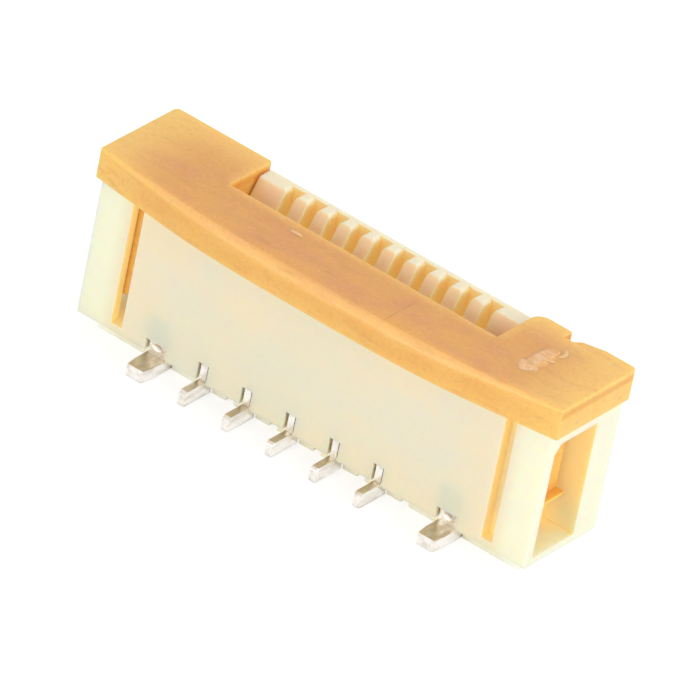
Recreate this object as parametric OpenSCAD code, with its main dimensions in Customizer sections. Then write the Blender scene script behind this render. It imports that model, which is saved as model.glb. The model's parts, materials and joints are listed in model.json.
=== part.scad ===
// Slide-lock connector for flat flexible cable: vertical entry, surface mounted.
// All sizes are in millimetres. X runs along the row of contacts, -Y is the bowed
// front, +Z points away from the board, and the origin is the middle of the
// seating plane. The cable goes down between the actuator's tongue and the comb,
// and pushing the actuator home presses it onto the contacts.

/* [Circuits] */
// Number of contacts in the row
circuits = 10; // [4:1:16]
// Distance from one contact to the next
pitch = 1.0; // [0.9:0.05:1.5]

/* [Cable slot] */
// Spare room beside the cable at each end of the slot
cable_clear = 0.1; // [0.05:0.01:0.2]
// Gap between the actuator's tongue and the faces of the comb's ribs
slot_w = 0.74; // [0.6:0.02:0.9]
// Height of the slot's floor above the board
slot_floor = 2.0; // [1.8:0.05:2.4]

/* [Housing] */
// Front to back size of the housing
body_d = 4.2; // [4.0:0.05:5.0]
// Height of the moulded block, from its underside to the top of its front wall
body_h = 5.6; // [5.2:0.05:6.5]
// Length of each solid end, from the cable slot to the end face
end_block = 4.6; // [4.3:0.05:6.0]
// Height of the block's underside above the board
standoff = 0.6; // [0.5:0.05:0.9]
// How far the foot of the housing is set back from the block's faces
foot_inset = 0.6; // [0.3:0.05:0.8]
// Thickness of the front wall, from the outer face to the cable slot
front_wall = 0.95; // [0.8:0.05:1.2]

/* [Comb] */
// Height of the comb above the front wall
comb_rise = 1.05; // [0.7:0.05:1.2]
// Width of the flat land along the top of the comb
comb_land = 0.7; // [0.5:0.05:0.9]
// Forward lean of the comb's lead-in, for each millimetre of height
lead_in = 0.6; // [0.5:0.01:0.7]
// Depth of the pockets that split the comb's front into ribs
comb_pocket = 1.25; // [1.0:0.05:1.35]
// Width of those pockets
pocket_w = 0.46; // [0.4:0.01:0.54]
// Thickness of the wall behind those pockets
pocket_wall = 0.25; // [0.2:0.05:0.35]
// Radius on the top corners of each rib
rib_r = 0.16; // [0.05:0.01:0.2]
// Thickness left behind the contact channels
comb_back = 0.45; // [0.3:0.05:0.6]

/* [Contacts] */
// Thickness of the contact strip
contact_t = 0.3; // [0.2:0.01:0.4]
// Running gap on each side of a contact in its channel
contact_clear = 0.03; // [0.01:0.01:0.05]
// Height of a contact's foot above the board
tail_h = 0.6; // [0.4:0.05:0.6]
// How far a contact's foot reaches past the housing
tail_reach = 1.0; // [0.6:0.05:1.5]
// Width of the recess that each tail leaves through
tail_recess_w = 0.47; // [0.42:0.01:0.6]
// Width of the spring arm at its root
arm_w = 0.45; // [0.35:0.01:0.6]
// Width of the prong beside the tongue
prong_w = 0.3; // [0.2:0.01:0.4]
// Height of the contact's cross bar above the board
bar_top = 1.3; // [1.2:0.05:1.5]
// Thickness of the contact's cross bar
bar_h = 0.55; // [0.4:0.05:0.6]
// Height of the point that touches the cable, above the slot's floor
touch_rise = 2.7; // [2.2:0.05:2.9]
// Gap left between the touching points and the tongue when there is no cable
touch_gap = 0.24; // [0.2:0.01:0.28]
// Radius of the touching point
touch_r = 0.25; // [0.2:0.01:0.3]

/* [Solder tabs] */
// Distance from the cable slot's end to the middle of a solder tab
tab_inset = 1.04; // [0.9:0.02:1.3]
// Width of a solder tab
tab_w = 0.85; // [0.7:0.05:1.0]
// Width of a solder tab at its toe
tab_toe_w = 0.72; // [0.6:0.02:0.85]
// Thickness of the tab strip
tab_t = 0.48; // [0.3:0.02:0.5]
// How far a solder tab reaches past the housing
tab_reach = 1.04; // [0.6:0.02:1.5]
// Width and height of the recess in the wall round a solder tab
tab_recess = [0.93, 0.5];
// Height of the tab's bridge above the board
tab_bridge = 2.05; // [1.9:0.05:2.3]

/* [Actuator] */
// Thickness of the actuator's plate
plate_t = 1.25; // [1.0:0.05:1.5]
// How far the plate overhangs the housing's ends
overhang_x = 0.25; // [0.1:0.05:0.4]
// How far the plate overhangs the housing's front and back
overhang_y = 0.1; // [0.05:0.05:0.2]
// Front to back size of the bar at its ends
bar_d = 1.91; // [1.8:0.01:2.0]
// How far the bar's middle bows out at the front
bow_rise = 0.87; // [0.4:0.01:1.0]
// Straight length at each end of the bowed front
bow_end = 0.85; // [0.5:0.05:1.5]
// Rounding along the upper front edge, at the middle of the bow
edge_r = 0.5; // [0.3:0.05:0.6]
// Rounding along the upper front edge, at the ends
edge_end_r = 0.1; // [0.05:0.01:0.2]
// Spare length of the opening between the ears, past each end of the cable slot
ear_gap = 0.45; // [0.35:0.05:0.6]
// Radius of the inner corner of the left and the right ear
ear_r = [0.1, 0.5];
// Radius of the plate's back corners
corner_r = 0.2; // [0.05:0.01:0.3]
// Gap under the plate when the actuator is pushed home
seat_gap = 0.04; // [0.02:0.01:0.08]
// How far the actuator lifts to release the cable
travel = 1.2; // [1.0:0.05:1.3]
// Size of the polarity notch in one ear, along, in and down
notch = [1.5, 0.5, 0.42];
// Width, length and height of the stub left by the torn-off moulding gate
gate = [0.5, 1.6, 0.05];
// Distance from the plate's end to the middle of that stub
gate_inset = 2.55; // [2.2:0.05:3.2]

/* [Tongue] */
// Gap between the tongue and the front wall
tongue_gap = 0.15; // [0.1:0.01:0.2]
// Gap between the end of the tongue and the slot's floor
tongue_lift = 0.4; // [0.2:0.05:0.6]
// Height of the tongue's wedge-shaped tip
tip_h = 1.0; // [0.6:0.05:1.2]
// Thickness of the tongue at its tip
tip_t = 0.34; // [0.25:0.01:0.5]

/* [Lock legs] */
// Thickness of a leg
leg_t = 0.7; // [0.5:0.05:0.8]
// Front to back size of a leg
leg_d = 2.2; // [1.8:0.05:2.3]
// Thickness of the housing's end wall outside a leg
end_wall = 0.95; // [0.8:0.05:1.1]
// Thickness of the wall in front of a leg
post_t = 0.4; // [0.3:0.05:0.5]
// Height of a leg's lower end above the board
leg_foot = 1.95; // [1.85:0.05:2.1]
// How far the hook stands out of a leg
hook = 0.4; // [0.2:0.05:0.5]
// Height of the hook's flat top above a leg's lower end
hook_rise = 0.55; // [0.4:0.05:0.8]
// Running gap round a leg in its channel
leg_clear = 0.05; // [0.03:0.01:0.08]
// Height of the window's upper edge below the top of the end wall
bridge_h = 0.55; // [0.4:0.05:0.8]
// Bevel across the window's upper front corner
window_bevel = 0.35; // [0.2:0.05:0.5]
// Spare room behind a leg in its window
window_spare = 0.2; // [0.1:0.05:0.4]
// Width of the slit in the front wall
slit_w = 0.5; // [0.3:0.05:0.6]
// Distance from the end face to the middle of the slit
slit_inset = 1.75; // [1.6:0.05:1.8]
// Height of the lower end of the slit and the window above the board
slit_foot = 0.9; // [0.8:0.05:1.3]
// Height of the slit's upper end below the top of the front wall
slit_head = 0.2; // [0.1:0.05:0.5]
// Size of the stop lug on a leg: out, along the leg's width, and up
lug = [0.28, 0.8, 0.5];

/* [Hidden] */
over = 0.1;
skin = 0.001;
arc_steps = 5;
edge_steps = 8;
bow_steps = 36;

cable_w = (circuits + 1) * pitch;
slot_l = cable_w + 2 * cable_clear;
body_l = slot_l + 2 * end_block;
wall_top = standoff + body_h;
comb_top = wall_top + comb_rise;
face_y = body_d / 2;
slot_front = -face_y + front_wall;

plate_l = body_l + 2 * overhang_x;
plate_y = face_y + overhang_y;
seat_z = wall_top + seat_gap;
plate_top = seat_z + plate_t;
bar_back = -plate_y + bar_d;
ear_x = slot_l / 2 + ear_gap;
comb_l = 2 * (ear_x - 2 * leg_clear);

rib_face = bar_back + slot_w;
land_y = face_y - comb_land;
channel_w = contact_t + 2 * contact_clear;
channel_back = face_y - comb_back;
prong_face = slot_front - prong_w - 2 * contact_clear;
arm_slot = arm_w + 2 * contact_clear;
recess_top = bar_top + leg_clear;

tab_x = slot_l / 2 + tab_inset;
tab_face = face_y - 0.2;
leg_out = body_l / 2 - end_wall - leg_clear;
leg_in = leg_out - leg_t;
leg_front = -face_y + post_t + leg_clear;
leg_back = leg_front + leg_d;
window_head = wall_top - bridge_h;
lug_z = leg_foot + 0.15;

function contact_name(i) = str("contact_", i < 9 ? "0" : "", i + 1);
CONTACTS = [for (i = [0 : circuits - 1]) contact_name(i)];

// Place of contact i along the row
function contact_x(i) = (i - (circuits - 1) / 2) * pitch;

// Even places have their foot at the front, odd places at the back
function tail_side(i) = i % 2 == 0 ? -1 : 1;

// Points on an arc of radius r about [cx, cy], from angle a0 to angle a1
function arc(cx, cy, r, a0, a1) =
    [for (k = [0 : arc_steps])
        let (a = a0 + (a1 - a0) * k / arc_steps) [cx + r * cos(a), cy + r * sin(a)]];

// Forward face of the comb's lead-in at height z
function lead_y(z) = max(rib_face, land_y - lead_in * (comb_top - z));

// Slope of the lead-in from upright
lead_angle = atan(lead_in);

// Height at which the lead-in meets the upright face of the ribs
lead_z = comb_top - (land_y - rib_face) / lead_in;

// Fullness of the bow at x: 1 in the middle, 0 on the straight ends
function bow(x) = 1 - pow(min(1, abs(x) / (plate_l / 2 - bow_end)), 3);

// Radius of the bar's upper front edge at x
function edge_radius(x) = edge_end_r + (edge_r - edge_end_r) * bow(x);

// How far that rounded edge lies behind the bar's front, at x and a depth below the top
function edge_inset(x, depth) =
    let (r = edge_radius(x), rise = max(0, r - depth))
    r - sqrt(r * r - rise * rise);

// Extrude a [y, z] outline along X, from x0 to x1
module along_x(x0, x1) {
    translate([x0, 0, 0])
        rotate([90, 0, 90])
            linear_extrude(x1 - x0)
                children();
}

// Extrude an [x, z] outline along Y, from y0 to y1
module along_y(y0, y1) {
    translate([0, y1, 0])
        rotate([90, 0, 0])
            linear_extrude(y1 - y0)
                children();
}

// A box from its lowest to its highest corner
module box(low, high) {
    translate(low)
        cube(high - low);
}

// A copy at each end of the part
module both_ends() {
    children();
    mirror([1, 0, 0]) children();
}

// A straight stretch of flat strip between two points, with rounded ends
module limb(a, b, wa, wb) {
    run = b - a;
    side = [-run[1], run[0]] / norm(run) / 2;
    polygon([a - side * wa, b - side * wb, b + side * wb, a + side * wa]);
    translate(a) circle(d = wa, $fn = 24);
    translate(b) circle(d = wb, $fn = 24);
}

// ---- Housing -------------------------------------------------------------------

// The moulded block, its foot on the board and the comb along its back
module housing_blank() {
    box([-body_l / 2, -face_y, standoff], [body_l / 2, face_y, wall_top]);
    box([-body_l / 2 + foot_inset, -face_y + foot_inset, 0],
        [body_l / 2 - foot_inset, face_y - foot_inset, standoff + over]);
    along_x(-comb_l / 2, comb_l / 2)
        polygon(concat(
            [[lead_y(wall_top), wall_top - over], [lead_y(wall_top), wall_top]],
            arc(lead_y(comb_top - rib_r) + rib_r / cos(lead_angle), comb_top - rib_r,
                rib_r, 180 - lead_angle, 90),
            arc(face_y - rib_r / 2, comb_top - rib_r / 2, rib_r / 2, 90, 0),
            [[face_y, wall_top - over]]));
}

// The space for the cable and the tongue, with its sloping lead-in
module cable_slot() {
    along_x(-slot_l / 2, slot_l / 2)
        polygon([
            [slot_front, slot_floor], [rib_face, slot_floor], [rib_face, lead_z],
            [lead_y(wall_top), wall_top], [lead_y(wall_top), wall_top + over],
            [slot_front, wall_top + over]]);
}

// Everything that one contact needs: its base slot from below, the channels for
// its two arms, the recess for its tail, and the pocket in the top of the comb
module contact_cavity(side) {
    half = channel_w / 2;
    pocket = pocket_w / 2;
    floor = comb_top - comb_pocket;
    mirror([0, side > 0 ? 1 : 0, 0]) {
        near = side > 0 ? channel_back : -prong_face;
        far = side > 0 ? -prong_face : channel_back;
        box([-half, -face_y - over, -over], [half, far, bar_top]);
        box([-tail_recess_w / 2, -face_y - over, -over],
            [tail_recess_w / 2, -min(near, face_y - foot_inset), recess_top]);
    }
    box([-half, rib_face - over, slot_floor - over], [half, channel_back, comb_top + over]);
    box([-half, channel_back - arm_slot, bar_top - over],
        [half, channel_back, slot_floor]);
    box([-half, prong_face, bar_top - over],
        [half, slot_front + over, slot_floor + touch_rise]);
    along_y(rib_face, face_y - pocket_wall)
        polygon(concat(
            [[-pocket, floor]],
            arc(-pocket - rib_r, comb_top - rib_r, rib_r, 0, 90),
            [[-pocket - rib_r, comb_top + over], [pocket + rib_r, comb_top + over]],
            arc(pocket + rib_r, comb_top - rib_r, rib_r, 90, 180),
            [[pocket, floor]]));
}

// The channel, window and slit round one lock leg
module leg_cavity() {
    front = leg_front - leg_clear;
    back = leg_back + window_spare;
    wall_in = leg_out + leg_clear;
    outside = body_l / 2 + over;
    slit_x = body_l / 2 - slit_inset;
    box([leg_in - leg_clear, front, slit_foot], [wall_in, back, wall_top + over]);
    // the window in the end wall
    along_x(wall_in - leg_clear, outside)
        polygon([
            [front, slit_foot], [back, slit_foot], [back, window_head],
            [front + window_bevel, window_head], [front, window_head - window_bevel]]);
    // the slit in the front wall
    box([slit_x - slit_w / 2, -face_y - over, slit_foot],
        [slit_x + slit_w / 2, front + leg_clear, wall_top - slit_head]);
    // the pocket where the stop lug travels
    box([leg_in - lug[0] - leg_clear, leg_front + leg_d / 2 - lug[1] / 2 - leg_clear, leg_foot],
        [leg_in, leg_front + leg_d / 2 + lug[1] / 2 + leg_clear,
         lug_z + lug[2] + travel + leg_clear]);
}

// The slot for one solder tab, with a recess in each wall
module tab_cavity() {
    half = tab_w / 2 + contact_clear;
    box([tab_x - half, -tab_face - contact_clear, -over],
        [tab_x + half, tab_face + contact_clear, tab_bridge]);
    box([tab_x - tab_recess[0] / 2, -face_y - over, -over],
        [tab_x + tab_recess[0] / 2, face_y + over, standoff + tab_recess[1]]);
}

module housing() {
    color("ivory")
        difference() {
            housing_blank();
            cable_slot();
            for (i = [0 : circuits - 1])
                translate([contact_x(i), 0, 0])
                    contact_cavity(tail_side(i));
            both_ends() {
                leg_cavity();
                tab_cavity();
            }
        }
}

// ---- Contacts ------------------------------------------------------------------

// The outline of the springs and the cross bar, as [y, z]
module contact_springs() {
    arm_y = channel_back - arm_slot / 2;
    prong_y = (slot_front + prong_face) / 2;
    touch = [bar_back + touch_gap + touch_r, slot_floor + touch_rise];
    elbow = touch + [touch_r * 0.8, 0];
    knee = [arm_y, slot_floor + arm_w];
    // cross bar
    translate([prong_y - prong_w / 2, bar_top - bar_h])
        square([arm_y + arm_w / 2 - prong_y + prong_w / 2, bar_h]);
    // spring arm: up, forward to the touching point, and back into the comb
    limb([arm_y, bar_top - arm_w / 2], knee, arm_w, arm_w);
    limb(knee, elbow, arm_w, contact_t);
    limb(elbow, elbow + [lead_in, 1] * 0.9, contact_t, contact_t * 0.7);
    translate(touch) circle(r = touch_r, $fn = 32);
    // barb that holds the contact in its channel
    polygon([
        [arm_y, slot_floor], [channel_back, slot_floor + arm_w / 2],
        [arm_y, slot_floor + arm_w]]);
    // front prong, beside the tongue
    limb([prong_y, bar_top - prong_w / 2], [prong_y, slot_floor + touch_rise - prong_w],
         prong_w, prong_w);
}

// The outline of the tail and its foot, at the front
module contact_tail() {
    riser = face_y - leg_clear * 2;
    toe = face_y + tail_reach;
    shank = -riser + contact_t * 1.5;
    nose = tail_h / 6;
    polygon([
        [-toe, nose / 2], [-toe + nose / 2, 0], [shank, 0], [shank, bar_top - bar_h],
        [prong_face + 2 * contact_t, bar_top - bar_h], [prong_face + 2 * contact_t, bar_top],
        [-riser, bar_top], [-riser, tail_h], [-toe + nose, tail_h], [-toe, tail_h - nose]]);
}

// One contact, blanked from strip: springs, cross bar and a tail at the given side
module contact(i) {
    color("silver")
        translate([contact_x(i), 0, 0]) {
            along_x(-contact_t / 2, contact_t / 2) contact_springs();
            mirror([0, tail_side(i) > 0 ? 1 : 0, 0])
                along_x(-contact_t / 2, contact_t / 2) contact_tail();
        }
}

// ---- Solder tabs ---------------------------------------------------------------

// One foot of a tab, seen from above, with a tapered toe
module tab_foot_plan() {
    toe = face_y + tab_reach;
    polygon([
        [-tab_w / 2, -tab_face + tab_t], [-tab_w / 2, -face_y - tab_reach / 2],
        [-tab_toe_w / 2, -toe], [tab_toe_w / 2, -toe],
        [tab_w / 2, -face_y - tab_reach / 2], [tab_w / 2, -tab_face + tab_t]]);
}

// A formed strap: up one side, across and down the other, with a foot at each end
module solder_tab() {
    dimple_r = tab_recess[1] * 0.36;
    dimple_z = standoff + tab_recess[1] / 2;
    color("silver") {
        box([-tab_w / 2, -tab_face, tab_bridge - tab_t], [tab_w / 2, tab_face, tab_bridge]);
        for (side = [0, 1])
            mirror([0, side, 0]) {
                box([-tab_w / 2, -tab_face, 0], [tab_w / 2, -tab_face + tab_t, tab_bridge]);
                linear_extrude(tab_t) tab_foot_plan();
                // oval dimple pressed out of the strap
                along_y(-tab_face - contact_clear, -tab_face + contact_clear) {
                    for (s = [-1, 1])
                        translate([s * dimple_r / 2, dimple_z])
                            circle(r = dimple_r, $fn = 32);
                    translate([-dimple_r / 2, dimple_z - dimple_r])
                        square([dimple_r, 2 * dimple_r]);
                }
            }
    }
}

module solder_tab_left() {
    translate([-tab_x, 0, 0]) solder_tab();
}

module solder_tab_right() {
    translate([tab_x, 0, 0]) solder_tab();
}

// ---- Actuator ------------------------------------------------------------------

// Outline of the bar from above, at a depth below its top
module bar_plan(depth) {
    half = plate_l / 2;
    polygon(concat(
        [[half, bar_back], [-half, bar_back]],
        [for (k = [0 : bow_steps])
            let (x = -half + plate_l * k / bow_steps)
            [x, -plate_y - bow_rise * bow(x) + edge_inset(x, depth)]]));
}

// The bar, with its upper front edge rounded
module bar() {
    hull() {
        translate([0, 0, seat_z])
            linear_extrude(plate_t - edge_r) bar_plan(edge_r);
        for (k = [1 : edge_steps])
            let (depth = edge_r * (1 - sin(90 * k / edge_steps)))
            translate([0, 0, plate_top - depth - skin])
                linear_extrude(skin) bar_plan(depth);
    }
}

// One ear, which covers the housing's end, with radius r on its inner corner
module ear(r) {
    half = plate_l / 2;
    translate([0, 0, seat_z])
        linear_extrude(plate_t)
            polygon(concat(
                [[half, bar_back - over], [half, plate_y - corner_r]],
                arc(half - corner_r, plate_y - corner_r, corner_r, 0, 90),
                arc(ear_x + r, plate_y - r, r, 90, 180),
                [[ear_x, bar_back - over]]));
}

// The polarity notch in the back edge of the right ear
module polarity_notch() {
    start = ear_x + 1.5;
    along_y(plate_y - notch[1], plate_y + over)
        polygon([
            [start, plate_top + over], [start, plate_top - notch[2]],
            [start + notch[0] / 3, plate_top - notch[2] * 0.4],
            [start + notch[0], plate_top], [start + notch[0], plate_top + over]]);
}

// The stub on the same ear where the moulding was torn from its runner
module gate_stub() {
    round_r = gate[0] / 2;
    translate([plate_l / 2 - gate_inset, 0, plate_top - over])
        linear_extrude(gate[2] + over) {
            square([gate[0], gate[1] - gate[0]], center = true);
            for (end = [-1, 1])
                translate([0, end * (gate[1] / 2 - round_r)]) circle(r = round_r, $fn = 32);
        }
}

// The tongue that presses the cable onto the contacts
module tongue() {
    front = slot_front + tongue_gap;
    low = slot_floor + tongue_lift;
    along_x(-slot_l / 2 + cable_clear, slot_l / 2 - cable_clear)
        polygon([
            [front, seat_z + over], [front, low + tip_h / 2], [front + tip_t / 4, low],
            [front + tip_t, low], [bar_back, low + tip_h], [bar_back, seat_z + over]]);
}

// A lock leg: a blade with a hook outside and a stop lug inside
module leg() {
    middle = leg_front + leg_d / 2;
    hook_top = leg_foot + hook_rise;
    along_y(leg_front, leg_back)
        polygon([
            [leg_in, seat_z + over], [leg_in, leg_foot + hook / 2], [leg_in + hook / 4, leg_foot],
            [leg_out - hook / 4, leg_foot], [leg_out + hook, hook_top - hook / 4],
            [leg_out + hook, hook_top], [leg_out, hook_top], [leg_out, seat_z + over]]);
    box([leg_in - lug[0], middle - lug[1] / 2, lug_z],
        [leg_in + over, middle + lug[1] / 2, lug_z + lug[2]]);
}

module slider() {
    color("sandybrown")
        difference() {
            union() {
                bar();
                tongue();
                mirror([1, 0, 0]) ear(ear_r[0]);
                ear(ear_r[1]);
                both_ends() leg();
                gate_stub();
            }
            polarity_notch();
        }
}

housing();
slider();
for (i = [0 : circuits - 1])
    contact(i);
solder_tab_left();
solder_tab_right();
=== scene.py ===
# %% [markdown]
# # A slide-lock connector for flat cable
#
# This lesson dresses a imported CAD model: an ivory housing, an amber actuator and
# tinned contacts. The CAD model already has every size right, so the work here is
# about finish: soft edges, moulded plastic that lets a little light in, plated metal,
# and the small marks that a moulding tool leaves.
#
# Lengths are in metres, so a millimetre is written as a number times MM.

import json

import bpy
import numpy as np
from mathutils import Matrix, Vector

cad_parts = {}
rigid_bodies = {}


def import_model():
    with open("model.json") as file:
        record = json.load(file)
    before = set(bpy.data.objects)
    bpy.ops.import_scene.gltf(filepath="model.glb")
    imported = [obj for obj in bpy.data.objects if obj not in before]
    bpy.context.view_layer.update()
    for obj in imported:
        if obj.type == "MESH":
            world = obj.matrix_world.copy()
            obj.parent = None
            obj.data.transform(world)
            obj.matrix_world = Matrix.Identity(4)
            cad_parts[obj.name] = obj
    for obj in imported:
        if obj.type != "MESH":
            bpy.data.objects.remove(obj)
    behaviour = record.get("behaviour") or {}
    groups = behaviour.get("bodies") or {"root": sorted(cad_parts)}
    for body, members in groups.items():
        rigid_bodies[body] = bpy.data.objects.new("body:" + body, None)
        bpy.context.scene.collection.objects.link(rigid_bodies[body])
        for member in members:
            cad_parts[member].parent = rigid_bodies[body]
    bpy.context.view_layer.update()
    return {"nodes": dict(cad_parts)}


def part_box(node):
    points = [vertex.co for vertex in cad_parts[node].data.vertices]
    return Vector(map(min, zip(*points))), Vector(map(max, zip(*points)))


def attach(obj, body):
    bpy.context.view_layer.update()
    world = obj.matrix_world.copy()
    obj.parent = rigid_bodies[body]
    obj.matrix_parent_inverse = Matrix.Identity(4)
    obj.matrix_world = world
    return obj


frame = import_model()
MM = 0.001
print("nodes:", ", ".join(sorted(frame["nodes"])))

# %% [markdown]
# ## The camera
#
# A connector this small is photographed from far away through a long lens, so its
# edges stay almost parallel. A parallel camera would be close to that, but a long lens
# keeps the slight narrowing towards the far end. The camera stands to the right of the
# front, a third of the way up, and is rolled, which makes the row of contacts run
# downhill.

# %% Camera
VIEW_AZIMUTH = 31.53
VIEW_ELEVATION = 32.15
VIEW_ROLL = 11.80
VIEW_DISTANCE = 0.4651
VIEW_LENS = 675.3
SENSOR_WIDTH = 36
CLIP_START = 0.01
CLIP_END = 10
AIM = Vector((0.00009, -0.00004, 0.00361))


def camera_matrix(azimuth, elevation, roll, distance, aim):
    """Where a camera stands that looks at aim from an azimuth and an elevation.

    The way back from the aim is (sin az cos el, -cos az cos el, sin el). The camera's
    own axes are its right, its up and that way back, turned by the roll about it.
    """
    az, el = np.radians((azimuth, elevation))
    back = Vector((np.sin(az) * np.cos(el), -np.cos(az) * np.cos(el), np.sin(el)))
    right = Vector((0, 0, 1)).cross(back).normalized()
    up = back.cross(right)
    axes = Matrix((right, up, back)).transposed().to_4x4()
    return Matrix.Translation(aim + back * distance) @ axes @ Matrix.Rotation(np.radians(roll), 4, "Z")


lens = bpy.data.cameras.new("long_lens")
lens.lens = VIEW_LENS
lens.sensor_width = SENSOR_WIDTH
lens.clip_start = CLIP_START
lens.clip_end = CLIP_END
camera = bpy.data.objects.new("camera", lens)
bpy.context.collection.objects.link(camera)
camera.matrix_world = camera_matrix(VIEW_AZIMUTH, VIEW_ELEVATION, VIEW_ROLL, VIEW_DISTANCE, AIM)
bpy.context.scene.camera = camera
print("camera at", [round(c, 4) for c in camera.matrix_world.translation])

# %% [markdown]
# ## Soft edges
#
# No moulded or stamped edge is perfectly sharp, and a sharp one looks wrong because it
# never catches the light. These radii are smaller than anyone would draw in CAD, so they
# belong to the finish. The CAD meshes are loose triangles, so three modifiers work one
# after another: Weld joins the corners, Decimate dissolves the cuts inside flat faces,
# and Bevel then rounds what is left. Modifiers leave the CAD mesh itself alone.

# %% Soft edges on the CAD nodes
SAME_POINT = 1e-7
SHARP_ANGLE = np.radians(25)
FLAT_ANGLE = np.radians(0.5)
EDGE_STEPS = 3
EDGE_WIDTHS = {"housing": 0.045 * MM, "slider": 0.09 * MM, "contact": 0.025 * MM, "solder": 0.05 * MM}


def kind_of(name):
    """The kind of a node: the first word of its name."""
    return name.split("_")[0]


def soften(node, width):
    """Rounds a CAD node's edges by modifiers alone."""
    weld = node.modifiers.new("weld", "WELD")
    weld.merge_threshold = SAME_POINT
    flat = node.modifiers.new("flat_faces", "DECIMATE")
    flat.decimate_type = "DISSOLVE"
    flat.angle_limit = FLAT_ANGLE
    edge = node.modifiers.new("soft_edges", "BEVEL")
    edge.width = width
    edge.segments = EDGE_STEPS
    edge.limit_method = "ANGLE"
    edge.angle_limit = SHARP_ANGLE


for name, node in frame["nodes"].items():
    soften(node, EDGE_WIDTHS[kind_of(name)])
print("softened", len(frame["nodes"]), "nodes")

# %% [markdown]
# ## Helpers for materials
#
# A finish could be painted on an image, but an image needs an unwrapped mesh and goes
# soft close up. So every finish is built from nodes that read Object coordinates, in
# metres, and its grain stays put at its real size wherever the camera goes. A few small
# functions keep each material short: `put` adds a node and plugs it in, and the others
# are the handful of sums that every material here is made of.

# %% Node helpers
OCCLUSION_SAMPLES = 8


def linear(red, green, blue):
    """A colour as a screen shows it, from 0 to 1, turned into the linear one that a shader wants."""
    shown = np.array([red, green, blue])
    return (*np.where(shown > 0.04045, ((shown + 0.055) / 1.055) ** 2.4, shown / 12.92), 1.0)


def put(tree, kind, values, **settings):
    """Adds a node, changes its settings, and fills or links its inputs from a dictionary."""
    made = tree.nodes.new("ShaderNode" + kind)
    for key, setting in settings.items():
        setattr(made, key, setting)
    for key, value in values.items():
        if isinstance(value, bpy.types.NodeSocket):
            tree.links.new(value, made.inputs[key])
        else:
            made.inputs[key].default_value = value
    return made


def sum_of(tree, operation, first, second=0.0):
    """One Math node: first and second joined by the operation."""
    return put(tree, "Math", {0: first, 1: second}, operation=operation).outputs[0]


def times(tree, first, second):
    """First times second."""
    return sum_of(tree, "MULTIPLY", first, second)


def remap(tree, value, low, high, start=0.0, end=1.0):
    """Carries low..high over to start..end in a smooth step, and holds still outside."""
    values = {"Value": value, "From Min": low, "From Max": high, "To Min": start, "To Max": end}
    return put(tree, "MapRange", values, interpolation_type="SMOOTHSTEP").outputs[0]


def blend(tree, amount, first, second):
    """A colour that goes from first to second as the amount goes from 0 to 1."""
    return put(tree, "Mix", {0: amount, 6: first, 7: second}, data_type="RGBA").outputs[2]


def grain(tree, place, size, detail=3.0, stretch=(1, 1, 1)):
    """Noise from 0 to 1, about one lump for each size in metres, stretched along the axes."""
    scale = [1 / (size * s) for s in stretch]
    mapped = put(tree, "Mapping", {"Vector": place, "Scale": scale}).outputs[0]
    return put(tree, "TexNoise", {"Vector": mapped, "Scale": 1.0, "Detail": detail}).outputs[0]


def near(tree, value, middle, reach, fade):
    """1 where value lies within reach of middle, falling smoothly to 0 over the fade."""
    away = sum_of(tree, "ABSOLUTE", sum_of(tree, "SUBTRACT", value, middle))
    return remap(tree, away, reach, reach + fade, 1.0, 0.0)


def hidden_light(tree, distance, inside=False):
    """1 in the open and towards 0 in a crevice, or, inside, 1 in thick and towards 0 in thin."""
    settings = {"samples": OCCLUSION_SAMPLES, "inside": inside, "only_local": inside}
    return put(tree, "AmbientOcclusion", {"Distance": distance}, **settings).outputs["AO"]


def spread(tree, across, along):
    """How far out a spot is: the length of the flat vector (across, along)."""
    flat = put(tree, "CombineXYZ", {0: across, 1: along}).outputs[0]
    return put(tree, "VectorMath", {0: flat}, operation="LENGTH").outputs["Value"]


def facing_of(tree):
    """The x, y and z of the direction that the surface faces."""
    return put(tree, "SeparateXYZ", {0: put(tree, "NewGeometry", {}).outputs["Normal"]}).outputs


def new_material(name, **sockets):
    """A Principled material, with its plain numbers and colours set on the shader's own sockets."""
    material = bpy.data.materials.new(name)
    material.use_nodes = True
    shader = material.node_tree.nodes["Principled BSDF"]
    for socket, value in sockets.items():
        shader.inputs[socket.replace("_", " ")].default_value = value
    return material, material.node_tree, shader


def object_place(tree):
    """Object coordinates, and their x, y and z on their own."""
    place = put(tree, "TexCoord", {}).outputs["Object"]
    axes = put(tree, "SeparateXYZ", {0: place}).outputs
    return place, axes[0], axes[1], axes[2]


def bump(tree, shader, *layers):
    """Stacks bump layers of (height, depth in metres) and plugs the last into the shader."""
    normal = None
    for height, depth in layers:
        values = {"Height": height, "Distance": depth, "Strength": 1.0}
        if normal is not None:
            values["Normal"] = normal
        normal = put(tree, "Bump", values).outputs[0]
    tree.links.new(normal, shader.inputs["Normal"])


print("helpers ready")

# %% [markdown]
# ## Ivory nylon: the skin
#
# The housing is unpigmented, glass-filled nylon. Its walls are a cool ivory with warm
# clouds from the flow of the melt, and towards its ends it is painted warmer and then
# paler, a painted highlight for the light that makes the ends glow.
# Light goes about half a millimetre into it. A plain glossy colour would look like
# paint, so subsurface scattering carries the light, red further than green and green
# further than blue.

# %% Ivory: the skin
IVORY = linear(0.925, 0.905, 0.815)
IVORY_WARM = linear(0.955, 0.905, 0.785)
IVORY_END_GLOW = linear(0.995, 0.98, 0.87)
CLOUD_SIZE = 3.2 * MM
ENDS_WARM_GLOW = (0.55, 0.86)
ENDS_PALE_GLOW = (0.84, 0.92)

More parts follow.
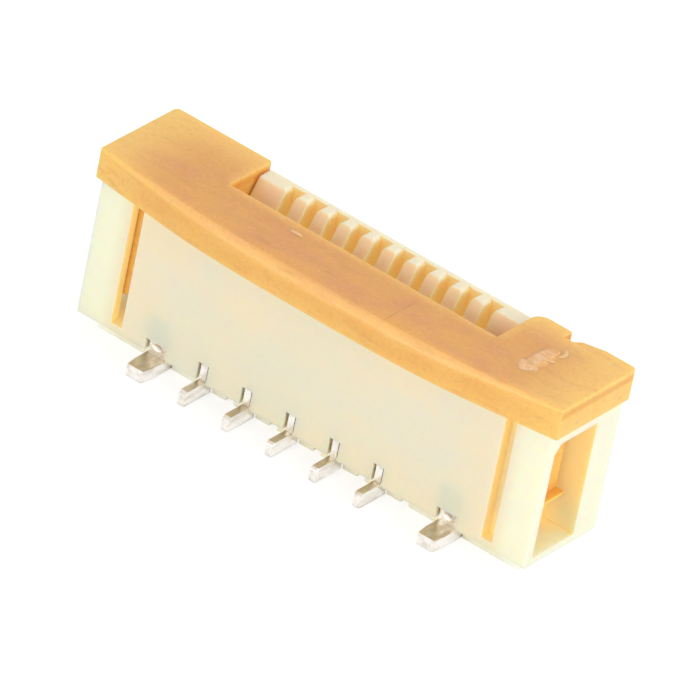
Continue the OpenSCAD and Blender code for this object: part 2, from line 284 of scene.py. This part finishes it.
ivory, tree, shader = new_material(
    "ivory_nylon",
    Roughness=0.5,
    Subsurface_Weight=1.0,
    Subsurface_Radius=(1.0, 0.72, 0.4),
    Subsurface_Scale=0.5 * MM,
)
place, x, y, z = object_place(tree)
facing = facing_of(tree)
low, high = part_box("housing")
half_length = (high[0] - low[0]) / 2
warm_from, warm_to, pale_from, pale_to = (share * half_length for share in ENDS_WARM_GLOW + ENDS_PALE_GLOW)
cloud = grain(tree, place, CLOUD_SIZE, 4.0, (1.4, 1, 0.7))
from_middle = sum_of(tree, "ABSOLUTE", x)
skin = blend(tree, remap(tree, cloud, 0.35, 0.7), IVORY, IVORY_WARM)
# Painted highlight: towards the ends the skin is painted warmer, then paler, for the light that makes them
# glow.
skin = blend(tree, remap(tree, from_middle, warm_from, warm_to, 0, 0.55), skin, IVORY_WARM)
skin = blend(tree, remap(tree, from_middle, pale_from, pale_to, 0, 0.9), skin, IVORY_END_GLOW)
print("ivory skin:", len(tree.nodes), "nodes")

# %% [markdown]
# ## Ivory nylon: slits, pockets and windows
#
# Light that gets into a slit passes from wall to wall and turns amber, where painted
# walls would go grey. Tracing that takes many bounces and is noisy, so the colour is laid
# in. An Ambient Occlusion node finds the crevices. Ramps on the place keep the colour in
# the slits, the comb and the end windows, and out of the small recesses round the feet.
# The fronts of the comb's ribs get a painted pink reflection of the amber tongue that
# stands before them.

# %% Ivory: where light is caught
CREVICE = linear(0.95, 0.85, 0.56)
TONGUE_REFLECTION = linear(0.985, 0.845, 0.68)
CREVICE_REACH = 1.3 * MM
SLIT_FROM = 7.3 * MM
RECESS_TOP = 1.2 * MM
UNDERSIDE = 0.62 * MM
COMB_FROM = 6.22 * MM
WINDOW_FROM = 8.6 * MM
WINDOW_WALL = 1.85 * MM
WINDOW_FADE = (0.9 * MM, 3.2 * MM)
FADE = 0.1 * MM

shade = remap(tree, hidden_light(tree, CREVICE_REACH), 0.2, 0.82, 1.0, 0.0)
above_foot = remap(tree, z, UNDERSIDE, UNDERSIDE + FADE)
in_slit = times(tree, remap(tree, from_middle, SLIT_FROM, SLIT_FROM + 3 * FADE), above_foot)
deep = sum_of(tree, "MAXIMUM", in_slit, remap(tree, z, RECESS_TOP, RECESS_TOP + 3 * FADE))
shade = times(tree, shade, deep)
# Painted reflection: the ribs' fronts take a pink tint from the amber tongue before them.
comb_front = remap(tree, facing[1], -0.3, -0.8)
comb_front = times(tree, comb_front, remap(tree, z, COMB_FROM, COMB_FROM + 2 * FADE))
skin = blend(tree, times(tree, comb_front, 0.85), skin, TONGUE_REFLECTION)
inner_wall = remap(tree, from_middle, WINDOW_FROM, WINDOW_FROM + FADE)
inner_wall = times(tree, inner_wall, near(tree, y, 0.0, WINDOW_WALL, FADE))
sideways = remap(tree, sum_of(tree, "ABSOLUTE", facing[1]), 0.5, 0.8, 0, 0.8)
inner_wall = times(tree, inner_wall, sideways)
inner_wall = times(tree, inner_wall, remap(tree, z, *WINDOW_FADE, 0.35, 1.0))
shade = sum_of(tree, "MAXIMUM", shade, times(tree, inner_wall, above_foot))
print("ivory crevices:", len(tree.nodes), "nodes")

# %% [markdown]
# ## Ivory nylon: colour, glow and grain
#
# The caught colour goes over the skin, with specks as fine as dust. The same places give
# off a little of their own colour, a painted glow which stands for light that comes
# through the walls, and everything below the foot's edge glows a little too, which
# lightens the shade under the housing.
# Two bumps finish the skin: the slow waves of the clouds, and a fine grain along X from
# the glass fibres.

# %% Ivory: colour, glow and grain
SPECK = linear(0.80, 0.70, 0.52)
SPECK_SIZE = 0.16 * MM
FIBRE_SIZE = 0.12 * MM
GLOW_FROM = (7.0 * MM, 7.4 * MM)
COMB_GLOW = 0.13
SLIT_GLOW = 0.24
FOOT_GLOW = 0.2

speck = grain(tree, place, SPECK_SIZE, 2.0)
fibre = grain(tree, place, FIBRE_SIZE, 3.0, (3.0, 1, 1))
colour = blend(tree, shade, skin, CREVICE)
colour = blend(tree, remap(tree, speck, 0.60, 0.78, 0, 0.10), colour, SPECK)
tree.links.new(colour, shader.inputs["Base Color"])
tree.links.new(colour, shader.inputs["Emission Color"])
leak = remap(tree, from_middle, *GLOW_FROM, COMB_GLOW, SLIT_GLOW)
leak = times(tree, remap(tree, shade, 0.3, 1.0), leak)
# Painted glow: surfaces below the foot's edge give off some of their colour, lightening the shade there.
foot_leak = remap(tree, z, UNDERSIDE, UNDERSIDE - FADE / 2, 0.0, FOOT_GLOW)
tree.links.new(sum_of(tree, "MAXIMUM", leak, foot_leak), shader.inputs["Emission Strength"])
tree.links.new(remap(tree, cloud, 0.3, 0.7, 0.42, 0.58), shader.inputs["Roughness"])
bump(tree, shader, (cloud, 0.02 * MM), (fibre, 0.006 * MM))
print("ivory nylon:", len(tree.nodes), "nodes")

# %% [markdown]
# ## Amber resin: top, front and shoulder
#
# The actuator is a high-temperature resin that has yellowed. Its top is mottled by the
# flow of the melt and painted darker than its clearer front, partly for dust from handling
# and partly as painted shade, since the light falls mostly on the front. Its rounded
# shoulder carries a painted highlight. One colour for all would look like wax, so the way
# that the surface faces chooses between them. The bar is painted with shade beside the
# comb, and the ears with a painted glow towards the back.

# %% Amber: top, front and shoulder
AMBER_TOP = linear(0.905, 0.660, 0.330)
AMBER_DUST = linear(0.882, 0.625, 0.385)
AMBER_FRONT = linear(0.940, 0.735, 0.395)
AMBER_SHADE = linear(0.830, 0.590, 0.300)
AMBER_SHOULDER_HIGHLIGHT = linear(0.985, 0.800, 0.520)
AMBER_GLOW = linear(0.980, 0.800, 0.440)
MOTTLE_SIZE = 1.3 * MM
BAR_BACK = (-1.4 * MM, -0.2 * MM)
BAR_END = (7.0 * MM, 5.6 * MM)
EAR_BACK = (0.3 * MM, 2.2 * MM)

amber, tree, shader = new_material(
    "amber_resin",
    Roughness=0.45,
    Subsurface_Weight=0.8,
    Subsurface_Radius=(1.0, 0.5, 0.2),
    Subsurface_Scale=0.5 * MM,
)
place, x, y, z = object_place(tree)
facing = facing_of(tree)
mottle = grain(tree, place, MOTTLE_SIZE, 6.0, (1.5, 1, 0.6))
from_middle = sum_of(tree, "ABSOLUTE", x)
# The top is painted darker than the front: partly dust, partly painted shade, as the light falls mostly on
# the front.
top = remap(tree, facing[2], 0.35, 0.95)
upper = blend(tree, remap(tree, mottle, 0.35, 0.68), AMBER_TOP, AMBER_DUST)
side = blend(tree, remap(tree, mottle, 0.42, 0.72, 0, 0.45), AMBER_FRONT, AMBER_TOP)
# Painted shade on the bar beside the comb.
back_edge = remap(tree, y, *BAR_BACK, 0, 0.55)
back_edge = times(tree, back_edge, remap(tree, from_middle, *BAR_END))
upper = blend(tree, back_edge, upper, AMBER_SHADE)
# Painted glow on the ears towards the back.
upper = blend(tree, remap(tree, y, *EAR_BACK, 0, 0.75), upper, AMBER_GLOW)
body = blend(tree, top, side, upper)
leaning_up = remap(tree, facing[2], 0.2, 0.5)
# Painted highlight along the rounded shoulder.
shoulder = times(tree, leaning_up, remap(tree, facing[2], 0.985, 0.85))
body = blend(tree, times(tree, shoulder, 0.6), body, AMBER_SHOULDER_HIGHLIGHT)
print("amber body:", len(tree.nodes), "nodes")

# %% [markdown]
# ## Amber resin: thin and deep places
#
# The resin is translucent. Towards its ends, and where it is thin, light leaks out, and
# that light is painted in as a honey-yellow glow. An Ambient Occlusion node that looks
# inwards finds the thin edges. Where two walls meet, painted shade darkens the colour,
# and the same node looking outwards finds that. A darker band runs below the upper edge
# of the faces that look to the right.

# %% Amber: thin and deep places
AMBER_DEEP = linear(0.91, 0.66, 0.28)
HONEY_FROM = 0.72
THIN_REACH = 0.7 * MM
DEEP_REACH = 1.0 * MM
BAND_Z = 7.2 * MM
BAND_HALF = 0.05 * MM
BAND_FADE = 0.16 * MM

low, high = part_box("slider")
half_length = (high[0] - low[0]) / 2
# Painted glow towards the ends.
end_glow = remap(tree, from_middle, HONEY_FROM * half_length, half_length, 0, 0.85)
body = blend(tree, end_glow, body, AMBER_GLOW)
# Painted glow where the resin is thin.
edge = remap(tree, hidden_light(tree, THIN_REACH, inside=True), 0.95, 0.55, 0.0, 0.5)
body = blend(tree, edge, body, AMBER_GLOW)
end_band = near(tree, z, BAND_Z, BAND_HALF, BAND_FADE)
end_band = times(tree, end_band, remap(tree, facing[0], 0.7, 0.95, 0, 0.85))
body = blend(tree, end_band, body, AMBER_DEEP)
# Painted shade where two walls meet.
openness = hidden_light(tree, DEEP_REACH)
colour = blend(tree, remap(tree, openness, 0.15, 0.75, 1.0, 0.0), body, AMBER_DEEP)
print("amber depth:", len(tree.nodes), "nodes")

# %% [markdown]
# ## Amber resin: streaks, pores and the mould line
#
# Close up, the resin has long faint streaks, and pores that are darker or lighter than
# the rest. Both are noise at its real size, stretched along X for the streaks. One thin
# line runs back across the bar. It is a narrow band about one X, faded at its ends and
# broken up by another noise, on surfaces that lean upwards only.

# %% Amber: streaks, pores and the mould line
STREAK = linear(0.78, 0.52, 0.30)
PORE_DARK = linear(0.80, 0.56, 0.36)
PORE_LIGHT = linear(0.98, 0.78, 0.52)
MOULD_LINE = linear(0.66, 0.42, 0.22)
STREAK_SIZE = 0.45 * MM
PORE_SIZE = 0.13 * MM
BREAK_SIZE = 0.3 * MM
LINE_X = 2.87 * MM
LINE_Y = -1.8 * MM
LINE_HALF = (0.01 * MM, 0.75 * MM)
LINE_FADE = (0.03 * MM, 0.3 * MM)

streak = grain(tree, place, STREAK_SIZE, 4.0, (4.0, 1, 0.5))
pore = grain(tree, place, PORE_SIZE, 3.0)
colour = blend(tree, remap(tree, streak, 0.52, 0.78, 0, 0.28), colour, STREAK)
colour = blend(tree, remap(tree, pore, 0.50, 0.75, 0, 0.22), colour, PORE_DARK)
colour = blend(tree, remap(tree, pore, 0.48, 0.25, 0, 0.22), colour, PORE_LIGHT)
across_line = near(tree, x, LINE_X, LINE_HALF[0], LINE_FADE[0])
along_line = near(tree, y, LINE_Y, LINE_HALF[1], LINE_FADE[1])
line = times(tree, across_line, along_line)
line = times(tree, line, remap(tree, grain(tree, place, BREAK_SIZE), 0.35, 0.6, 0.25, 1.0))
line = times(tree, line, leaning_up)
colour = blend(tree, times(tree, line, 0.4), colour, MOULD_LINE)
print("amber marks:", len(tree.nodes), "nodes")

# %% [markdown]
# ## Amber resin: the torn gate
#
# The melt came in through a gate on the right ear. Tearing it off left a stub that is
# whitish and crumbled. The stub's shape is in the CAD model already, so only its broken
# skin is made here: an oval about the gate with a ragged rim, where a fine noise mixes
# two torn colours and drives a deep bump.

# %% Amber: the torn gate, colour and bumps
TORN = linear(0.96, 0.775, 0.62)
TORN_WARM = linear(0.94, 0.73, 0.50)
GATE = (7.90 * MM, -0.15 * MM)
GATE_SLIMMER = 2.1
GATE_RIM = (0.95 * MM, 1.25 * MM)
CRUMB_SIZE = 0.22 * MM
RAGGED = 0.7 * MM

crumb = grain(tree, place, CRUMB_SIZE, 5.0)
off_x = sum_of(tree, "SUBTRACT", x, GATE[0])
off_y = sum_of(tree, "SUBTRACT", y, GATE[1])
from_gate = spread(tree, times(tree, off_x, GATE_SLIMMER), off_y)
torn_edge = sum_of(tree, "ADD", from_gate, times(tree, crumb, RAGGED))
torn = times(tree, remap(tree, torn_edge, *GATE_RIM, 1.0, 0.0), top)
torn_colour = blend(tree, remap(tree, crumb, 0.42, 0.62), TORN_WARM, TORN)
torn_share = times(tree, torn, remap(tree, crumb, 0.3, 0.6, 0.35, 0.9))
colour = blend(tree, torn_share, colour, torn_colour)
tree.links.new(colour, shader.inputs["Base Color"])
tree.links.new(remap(tree, mottle, 0.3, 0.7, 0.38, 0.56), shader.inputs["Roughness"])
broken = times(tree, torn, crumb)
bump(tree, shader, (mottle, 0.02 * MM), (pore, 0.006 * MM), (line, -0.006 * MM), (broken, 0.07 * MM))
print("amber resin:", len(tree.nodes), "nodes")

# %% [markdown]
# ## Tinned metal
#
# The contacts are blanked from tinned bronze strip. Tin covers the two flat sides of the
# strip, and the cut edges show the bare bronze, dull and brownish. The solder tabs are
# bent from the same strip, so there the tin is on the broad faces, and the upright of
# each has a small oval dimple that was pressed in with a punch. Two materials on split
# faces would need the CAD mesh changed, so one material tells the faces apart by how far
# they face up. Where the metal goes into the housing it is painted dark, a painted shade
# that an Ambient Occlusion node finds.

# %% Tin
TIN = linear(0.96, 0.95, 0.93)
TIN_DULL = linear(0.86, 0.83, 0.79)
BRONZE = linear(0.79, 0.73, 0.62)
METAL_SHADE = linear(0.48, 0.44, 0.32)
METAL_SHADE_REACH = 0.22 * MM
WIPE_SIZE = 0.25 * MM
PIT_SIZE = 0.05 * MM
TAB_X = 6.64 * MM
DIMPLE_Z = 0.83 * MM
DIMPLE_HALF = (0.26 * MM, 0.17 * MM)


def tinned(name, cut_low, cut_high):
    """Tinned strip, with bare bronze where it is cut.

    The bare metal comes in as the share of the normal that points up goes from cut_low
    to cut_high.
    """
    material, tree, shader = new_material(name, Metallic=1.0)
    place, x, _, z = object_place(tree)
    facing = facing_of(tree)
    wipe = grain(tree, place, WIPE_SIZE, 4.0, (1, 3, 1))
    pit = grain(tree, place, PIT_SIZE, 2.0)
    bright = blend(tree, remap(tree, wipe, 0.4, 0.75), TIN, TIN_DULL)
    bare = remap(tree, sum_of(tree, "ABSOLUTE", facing[2]), cut_low, cut_high)
    bare = times(tree, bare, remap(tree, wipe, 0.3, 0.6, 0.7, 1.0))
    colour = blend(tree, bare, bright, BRONZE)
    # Painted shade where the metal goes into the housing.
    painted_shade = remap(tree, hidden_light(tree, METAL_SHADE_REACH), 0.25, 0.7, 0.8, 0.0)
    tree.links.new(blend(tree, painted_shade, colour, METAL_SHADE), shader.inputs["Base Color"])
    rough = sum_of(tree, "ADD", remap(tree, wipe, 0.3, 0.7, 0.22, 0.36), times(tree, bare, 0.12))
    tree.links.new(rough, shader.inputs["Roughness"])
    off_x = sum_of(tree, "SUBTRACT", sum_of(tree, "ABSOLUTE", x), TAB_X)
    off_z = sum_of(tree, "SUBTRACT", z, DIMPLE_Z)
    off_x = sum_of(tree, "DIVIDE", off_x, DIMPLE_HALF[0])
    off_z = sum_of(tree, "DIVIDE", off_z, DIMPLE_HALF[1])
    upright = remap(tree, sum_of(tree, "ABSOLUTE", facing[1]), 0.6, 0.9)
    dimple = times(tree, remap(tree, spread(tree, off_x, off_z), 0.2, 1.0), upright)
    bump(tree, shader, (wipe, 0.004 * MM), (pit, 0.001 * MM), (dimple, 0.03 * MM))
    return material


tin_contact = tinned("tin_contact", 0.5, 0.9)
tin_tab = tinned("tin_tab", 0.75, 1.0)
print("two tinned finishes")

# %% [markdown]
# ## Dressing the nodes
#
# Each CAD node keeps its mesh and only changes its material. The first word of its name
# says which finish it wears, so a connector with more contacts would need no new line.


# %% Put the materials on the nodes
def dress(piece, material):
    """Puts one material on every slot of a piece."""
    piece.data.materials.clear()
    piece.data.materials.append(material)


FINISHES = {"housing": ivory, "slider": amber, "contact": tin_contact, "solder": tin_tab}
for name, node in frame["nodes"].items():
    dress(node, FINISHES[kind_of(name)])
print("dressed", len(frame["nodes"]), "nodes")

# %% [markdown]
# ## What the moulding left behind
#
# The resin was torn off at its gate, the place where it ran into the mould. That leaves
# white, crumbled resin and a curled string beside the stub. A thin fleck of flash
# also lies on the bar. They wear a finish of their own, rougher and less translucent than
# the actuator's, because broken resin scatters light at once.

# %% Torn resin
TORN_GRAIN = 0.15 * MM

torn_resin, tree, shader = new_material(
    "torn_resin",
    Roughness=0.7,
    Subsurface_Weight=0.4,
    Subsurface_Radius=(1.0, 0.6, 0.35),
    Subsurface_Scale=0.2 * MM,
)
place = object_place(tree)[0]
crumb = grain(tree, place, TORN_GRAIN, 4.0)
torn_colour = blend(tree, remap(tree, crumb, 0.38, 0.62), TORN_WARM, TORN)
tree.links.new(torn_colour, shader.inputs["Base Color"])
bump(tree, shader, (crumb, 0.03 * MM))
print("torn resin:", len(tree.nodes), "nodes")

# %% [markdown]
# ## Torn pieces as grids
#
# Each torn piece is a grid of points: rows along it and columns round it. The columns
# close on themselves, so one function makes the faces of all of them. Sculpting by hand
# would give nicer crumbs, but a formula can be read, changed and repeated. The crumbs
# are a lumpy disc. The strings and the fleck are flat tubes that follow an arc and
# shrink almost to a point at both ends.

# %% Pieces of torn resin
PLATE_TOP = 7.49 * MM
PROUD = 0.048 * MM
TUBE_GRID = (40, 12)
DISC_GRID = (24, 64)
SMALLEST_END = 1e-4
SMALLEST_RING = 0.02
WAVE_COUNT = 6
WAVE_RANGE = (4, 11)


def new_piece(name, points, faces, material, body):
    """A smooth-shaded object from an array of points and one of faces, on its body."""
    mesh = bpy.data.meshes.new(name)
    mesh.from_pydata(points.tolist(), [], faces.tolist())
    mesh.shade_smooth()
    piece = bpy.data.objects.new(name, mesh)
    bpy.context.collection.objects.link(piece)
    dress(piece, material)
    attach(piece, body)
    return piece


def grid_faces(rows, columns):
    """Quads that join a rows by columns grid of points, closed round in the columns' direction."""
    row, column = np.meshgrid(np.arange(rows - 1), np.arange(columns), indexing="ij")
    right = (column + 1) % columns
    here, there = row * columns, (row + 1) * columns
    corners = [here + column, here + right, there + right, there + column]
    return np.stack(corners, axis=-1).reshape(-1, 4)


def string(name, middle, radii, angles, half_width):
    """A flat tube along an arc that lies half sunk in the plate.

    The path turns about middle from the first angle to the second, while its radius
    goes from the first to the second. Across it, the tube is an ellipse as wide as
    half_width says and as high as PROUD. Both shrink almost to nothing at the ends with
    the square root of 1 - (2t - 1)^4.
    """
    rows, columns = TUBE_GRID
    along = np.linspace(0, 1, rows)[:, None]
    round_it = np.linspace(0, 2 * np.pi, columns, endpoint=False)[None, :]
    turn = np.radians(angles[0] + (angles[1] - angles[0]) * along)
    size = np.sqrt(np.maximum(1 - (2 * along - 1) ** 4, SMALLEST_END))
    radius = radii[0] + (radii[1] - radii[0]) * along + half_width * size * np.cos(round_it)
    points = np.stack(
        [
            middle[0] + radius * np.cos(turn),
            middle[1] + radius * np.sin(turn),
            PLATE_TOP + PROUD * size * np.sin(round_it),
        ],
        axis=-1,
    )
    faces = grid_faces(rows, columns)
    return new_piece(name, points.reshape(-1, 3), faces, torn_resin, "actuator")


def crumbs(name, middle, half_sizes, seed):
    """A lumpy disc on the plate.

    Its outline is an ellipse whose radius swings by a fifth. Its height is PROUD times
    1 - r^4 times lumps, which are the mean of random waves, less a fifth of r^4, which
    takes the rim below the plate's top.
    """
    rows, columns = DISC_GRID
    waves = np.random.default_rng(seed).uniform(*WAVE_RANGE, (WAVE_COUNT, 2)) * np.array([1, -1])
    out = np.linspace(SMALLEST_RING, 1, rows)[:, None]
    turn = np.linspace(0, 2 * np.pi, columns, endpoint=False)[None, :]
    reach = out * (1 + 0.12 * np.cos(3 * turn + seed) + 0.08 * np.cos(7 * turn))
    across, along = reach * np.cos(turn), reach * np.sin(turn)
    lumps = np.mean([np.cos(a * across * 2 + b * along * 2 + a) for a, b in waves], axis=0)
    height = (1 - out**4) * (0.45 + 0.55 * np.clip(0.5 + 1.6 * lumps, 0, 1)) - 0.2 * out**4
    x = middle[0] + half_sizes[0] * across
    y = middle[1] + half_sizes[1] * along
    points = np.stack([x, y, PLATE_TOP + PROUD * height], axis=-1)
    faces = grid_faces(rows, columns)
    return new_piece(name, points.reshape(-1, 3), faces, torn_resin, "actuator")


string("gate_string", (7.98 * MM, 0.72 * MM), (0.36 * MM, 0.32 * MM), (-50, 62), 0.09 * MM)
string("gate_sliver", (8.30 * MM, -0.55 * MM), (0.60 * MM, 0.50 * MM), (80, 120), 0.06 * MM)
crumbs("gate_crumbs", (7.86 * MM, -0.88 * MM), (0.40 * MM, 0.36 * MM), 5)
string("flash_fleck", (-2.55 * MM, -2.87 * MM), (2.0 * MM, 2.0 * MM), (98, 82), 0.07 * MM)
print("four torn pieces")

# %% [markdown]
# ## White all round
#
# The part stands in a white tent. The backdrop could be made white by pouring light on
# it, but that would wash out the part. So the floor and the world have two looks: what
# the camera and reflections see is white, and what lights the part is plain. The Light
# Path node tells the two apart. The floor keeps some diffuse in its white look, so that
# the part's shadow still falls on it, and it lies just below the feet, so that the two
# never share a plane.


# %% What is seen directly
def seen_directly(tree):
    """1 where the camera, a reflection or a clear body looks straight at a surface, else 0."""
    path = put(tree, "LightPath", {}).outputs
    total = path["Is Camera Ray"]
    for output in ("Is Glossy Ray", "Is Transmission Ray"):
        total = sum_of(tree, "MAXIMUM", total, path[output])
    return total


def choose(tree, plain, white):
    """The white look where a surface is seen directly, and the plain one elsewhere."""
    return put(tree, "MixShader", {0: seen_directly(tree), 1: plain, 2: white}).outputs[0]


print("two looks ready")

# %% Floor
FLOOR = 0.5
DROP = -0.02 * MM
FLOOR_PLAIN = (0.8, 0.8, 0.8, 1)
FLOOR_THIN = (0.4, 0.4, 0.4, 1)
FLOOR_GLOW = 0.72

floor_mesh = bpy.data.meshes.new("floor")
floor_corners = [(-FLOOR, -FLOOR, DROP), (FLOOR, -FLOOR, DROP), (FLOOR, FLOOR, DROP), (-FLOOR, FLOOR, DROP)]
floor_mesh.from_pydata(floor_corners, [], [(0, 1, 2, 3)])
floor = bpy.data.objects.new("floor", floor_mesh)
bpy.context.collection.objects.link(floor)

floor_white = bpy.data.materials.new("floor_white")
floor_white.use_nodes = True
tree = floor_white.node_tree
tree.nodes.clear()
plain = put(tree, "BsdfDiffuse", {"Color": FLOOR_PLAIN}).outputs[0]
thin = put(tree, "BsdfDiffuse", {"Color": FLOOR_THIN}).outputs[0]
glow = put(tree, "Emission", {"Strength": FLOOR_GLOW}).outputs[0]
white = put(tree, "AddShader", {0: thin, 1: glow}).outputs[0]
put(tree, "OutputMaterial", {"Surface": choose(tree, plain, white)})
floor_mesh.materials.append(floor_white)
print("floor", 2 * FLOOR, "m wide")

# %% World
TENT_LIGHT = 0.55
BACKDROP_LIGHT = 1.0
WHITE = (1, 1, 1, 1)

world = bpy.data.worlds.new("white_tent")
bpy.context.scene.world = world
world.use_nodes = True
tree = world.node_tree
tree.nodes.clear()
tent = put(tree, "Background", {"Color": WHITE, "Strength": TENT_LIGHT}).outputs[0]
backdrop = put(tree, "Background", {"Color": WHITE, "Strength": BACKDROP_LIGHT}).outputs[0]
put(tree, "OutputWorld", {"Surface": choose(tree, tent, backdrop)})
print("tent light", TENT_LIGHT)

# %% [markdown]
# ## Lamps
#
# One lamp would be enough to see the part, but its shading would turn abruptly from wall
# to wall. Four soft boxes stand round the tent, each with its own strength, so that the
# shading turns slowly and the long front wall stays just below white.

# %% Lamps
BOX_SIZE = 0.10
TOP_SIZE = 0.12


def soft_box(name, place, size, watts):
    """A square area lamp at place, which faces the part."""
    lamp = bpy.data.lights.new(name, "AREA")
    lamp.shape = "SQUARE"
    lamp.size = size
    lamp.energy = watts
    holder = bpy.data.objects.new(name, lamp)
    bpy.context.collection.objects.link(holder)
    turned = Vector(place).to_track_quat("Z", "Y").to_matrix().to_4x4()
    holder.matrix_world = Matrix.Translation(place) @ turned
    return holder


soft_box("front_box", (-0.03, -0.17, 0.05), BOX_SIZE, 0.115)
soft_box("right_box", (0.16, -0.02, 0.05), BOX_SIZE, 0.11)
soft_box("back_box", (0.02, 0.17, 0.06), BOX_SIZE, 0.07)
soft_box("top_box", (0.0, 0.05, 0.18), TOP_SIZE, 0.06)

scene = bpy.context.scene
scene.view_settings.view_transform = "Standard"
print("lamps:", ", ".join(sorted(lamp.name for lamp in bpy.data.lights)))
